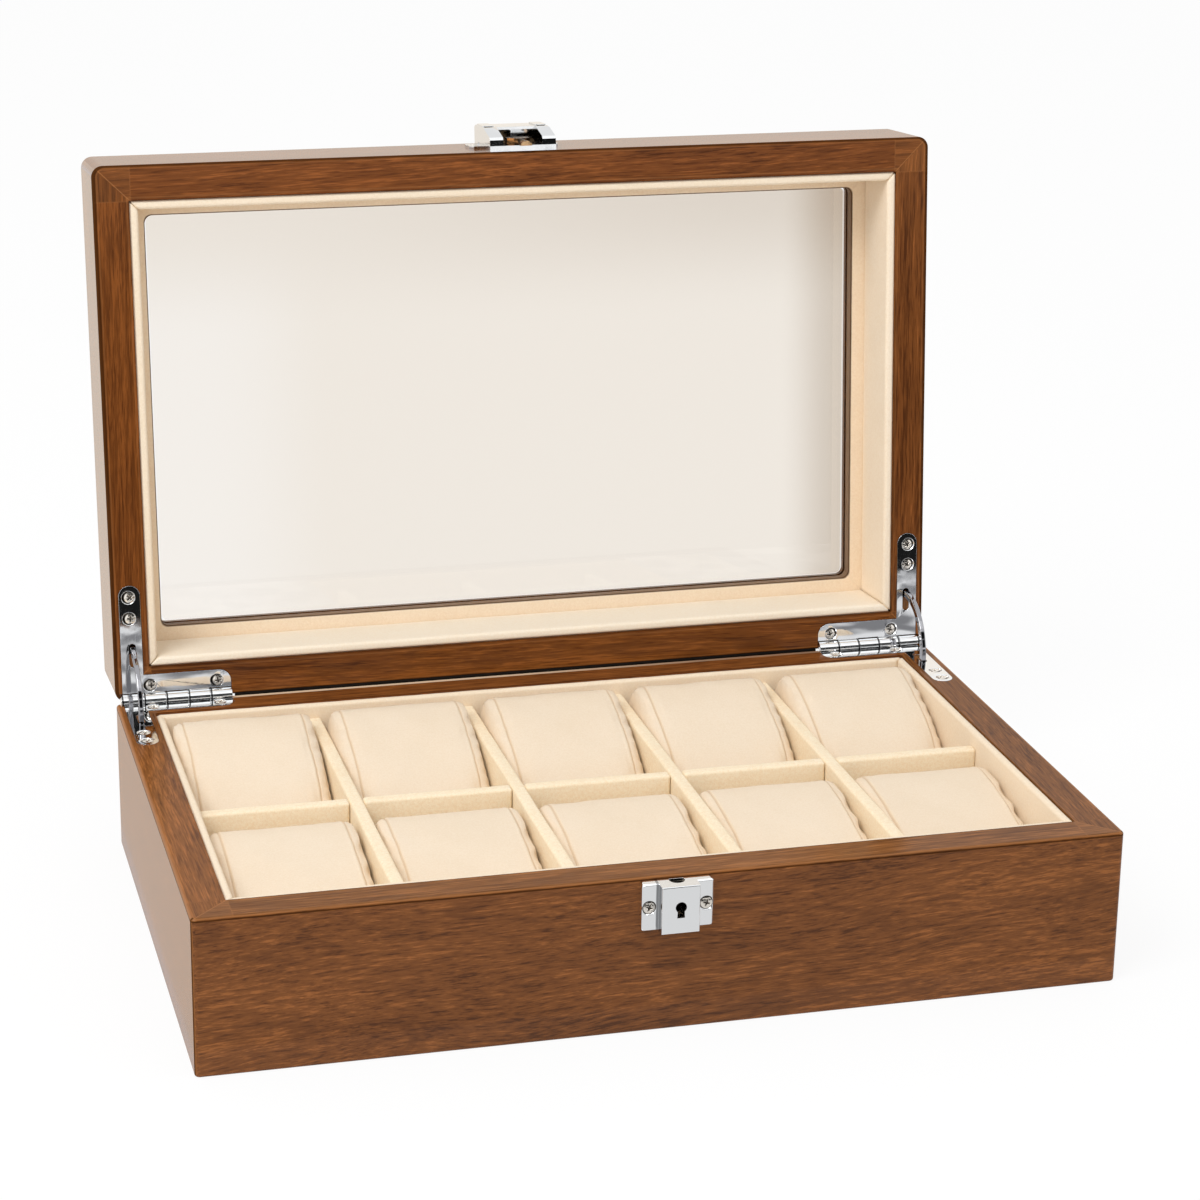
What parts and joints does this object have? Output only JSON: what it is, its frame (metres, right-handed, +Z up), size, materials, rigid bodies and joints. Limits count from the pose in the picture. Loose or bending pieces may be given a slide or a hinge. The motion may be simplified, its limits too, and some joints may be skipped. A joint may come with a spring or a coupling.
{
  "type": "watch box",
  "caption": "Hinged walnut-veneered display case with a glass lid, suede-lined compartments, lift-out watch pillows, quadrant hinges and a small front lock.",
  "frame": {"origin": "centre of the base's underside", "axes": "+X to the right along the front, +Y from the front to the hinges, +Z up"},
  "size_m": [0.32, 0.2642, 0.2625],
  "materials": {
    "walnut_veneer": "satin lacquer",
    "brown_bead": "satin stain",
    "fibreboard": "bare board",
    "felt": "felt",
    "suede_lining": "short-pile suede",
    "suede_pillow": "short-pile suede",
    "window_glass": "clear polished",
    "chrome": "polished plating",
    "steel": "nickel-plated steel"
  },
  "bodies": {
    "base": {"base_front_wall": "walnut_veneer", "base_back_wall": "walnut_veneer", "base_left_wall": "walnut_veneer", "base_right_wall": "walnut_veneer", "base_bottom_panel": "fibreboard", "base_felt": "felt", "base_liner_front": "suede_lining", "base_liner_back": "suede_lining", "base_liner_left": "suede_lining", "base_liner_right": "suede_lining", "base_floor_liner": "suede_lining", "long_divider": "suede_lining", "cross_divider_1": "suede_lining", "cross_divider_2": "suede_lining", "cross_divider_3": "suede_lining", "cross_divider_4": "suede_lining", "hinge_base_leaf_left": "chrome", "hinge_base_leaf_right": "chrome", "hinge_pin_left": "steel", "hinge_pin_right": "steel", "base_hinge_screws": "steel", "lock_case": "chrome", "lock_back_plate": "steel", "lock_spring": "steel", "lock_screws": "steel"},
    "lid": {"lid_front_rail": "walnut_veneer", "lid_back_rail": "walnut_veneer", "lid_left_rail": "walnut_veneer", "lid_right_rail": "walnut_veneer", "lid_glass": "window_glass", "lid_glazing_bead": "brown_bead", "lid_ledge_card": "suede_lining", "lid_liner_front": "suede_lining", "lid_liner_back": "suede_lining", "lid_liner_left": "suede_lining", "lid_liner_right": "suede_lining", "hinge_lid_leaf_left": "chrome", "hinge_lid_leaf_right": "chrome", "lid_hinge_screws": "steel", "catch_housing": "chrome", "catch_hook": "chrome", "catch_screws": "steel"},
    "lock_bolt": {"lock_bolt": "steel"},
    "stay_arm_left": {"stay_arm_left": "chrome"},
    "stay_arm_right": {"stay_arm_right": "chrome"},
    "pillow_back_1": {"pillow_back_1": "suede_pillow"},
    "pillow_back_2": {"pillow_back_2": "suede_pillow"},
    "pillow_back_3": {"pillow_back_3": "suede_pillow"},
    "pillow_back_4": {"pillow_back_4": "suede_pillow"},
    "pillow_back_5": {"pillow_back_5": "suede_pillow"},
    "pillow_front_1": {"pillow_front_1": "suede_pillow"},
    "pillow_front_2": {"pillow_front_2": "suede_pillow"},
    "pillow_front_3": {"pillow_front_3": "suede_pillow"},
    "pillow_front_4": {"pillow_front_4": "suede_pillow"},
    "pillow_front_5": {"pillow_front_5": "suede_pillow"}
  },
  "joints": [
    {"name": "lid_swing", "type": "hinge", "parent": "base", "child": "lid", "pos_m": [0, 0.1, 0.0563], "axis": [-1, 0, 0], "range_deg": [-95.3, 0]},
    {"name": "stay_left_swing", "type": "hinge", "parent": "base", "child": "stay_arm_left", "pos_m": [-0.153, 0.1, 0.0563], "axis": [-1, 0, 0], "range_deg": [-47.65, 0]},
    {"name": "stay_right_swing", "type": "hinge", "parent": "base", "child": "stay_arm_right", "pos_m": [0.153, 0.1, 0.0563], "axis": [-1, 0, 0], "range_deg": [-47.65, 0]},
    {"name": "lock_bolt_slide", "type": "slide", "parent": "base", "child": "lock_bolt", "axis": [1, 0, 0], "range_m": [0, 0.0016]},
    {"name": "pillow_back_1_lift", "type": "slide", "parent": "base", "child": "pillow_back_1", "axis": [0, 0, 1], "range_m": [0, 0.09]},
    {"name": "pillow_back_2_lift", "type": "slide", "parent": "base", "child": "pillow_back_2", "axis": [0, 0, 1], "range_m": [0, 0.09]},
    {"name": "pillow_back_3_lift", "type": "slide", "parent": "base", "child": "pillow_back_3", "axis": [0, 0, 1], "range_m": [0, 0.09]},
    {"name": "pillow_back_4_lift", "type": "slide", "parent": "base", "child": "pillow_back_4", "axis": [0, 0, 1], "range_m": [0, 0.09]},
    {"name": "pillow_back_5_lift", "type": "slide", "parent": "base", "child": "pillow_back_5", "axis": [0, 0, 1], "range_m": [0, 0.09]},
    {"name": "pillow_front_1_lift", "type": "slide", "parent": "base", "child": "pillow_front_1", "axis": [0, 0, 1], "range_m": [0, 0.09]},
    {"name": "pillow_front_2_lift", "type": "slide", "parent": "base", "child": "pillow_front_2", "axis": [0, 0, 1], "range_m": [0, 0.09]},
    {"name": "pillow_front_3_lift", "type": "slide", "parent": "base", "child": "pillow_front_3", "axis": [0, 0, 1], "range_m": [0, 0.09]},
    {"name": "pillow_front_4_lift", "type": "slide", "parent": "base", "child": "pillow_front_4", "axis": [0, 0, 1], "range_m": [0, 0.09]},
    {"name": "pillow_front_5_lift", "type": "slide", "parent": "base", "child": "pillow_front_5", "axis": [0, 0, 1], "range_m": [0, 0.09]}
  ],
  "couplings": [
    {"joint": "stay_left_swing", "follows": "lid_swing", "ratio": 0.5},
    {"joint": "stay_right_swing", "follows": "lid_swing", "ratio": 0.5}
  ]
}
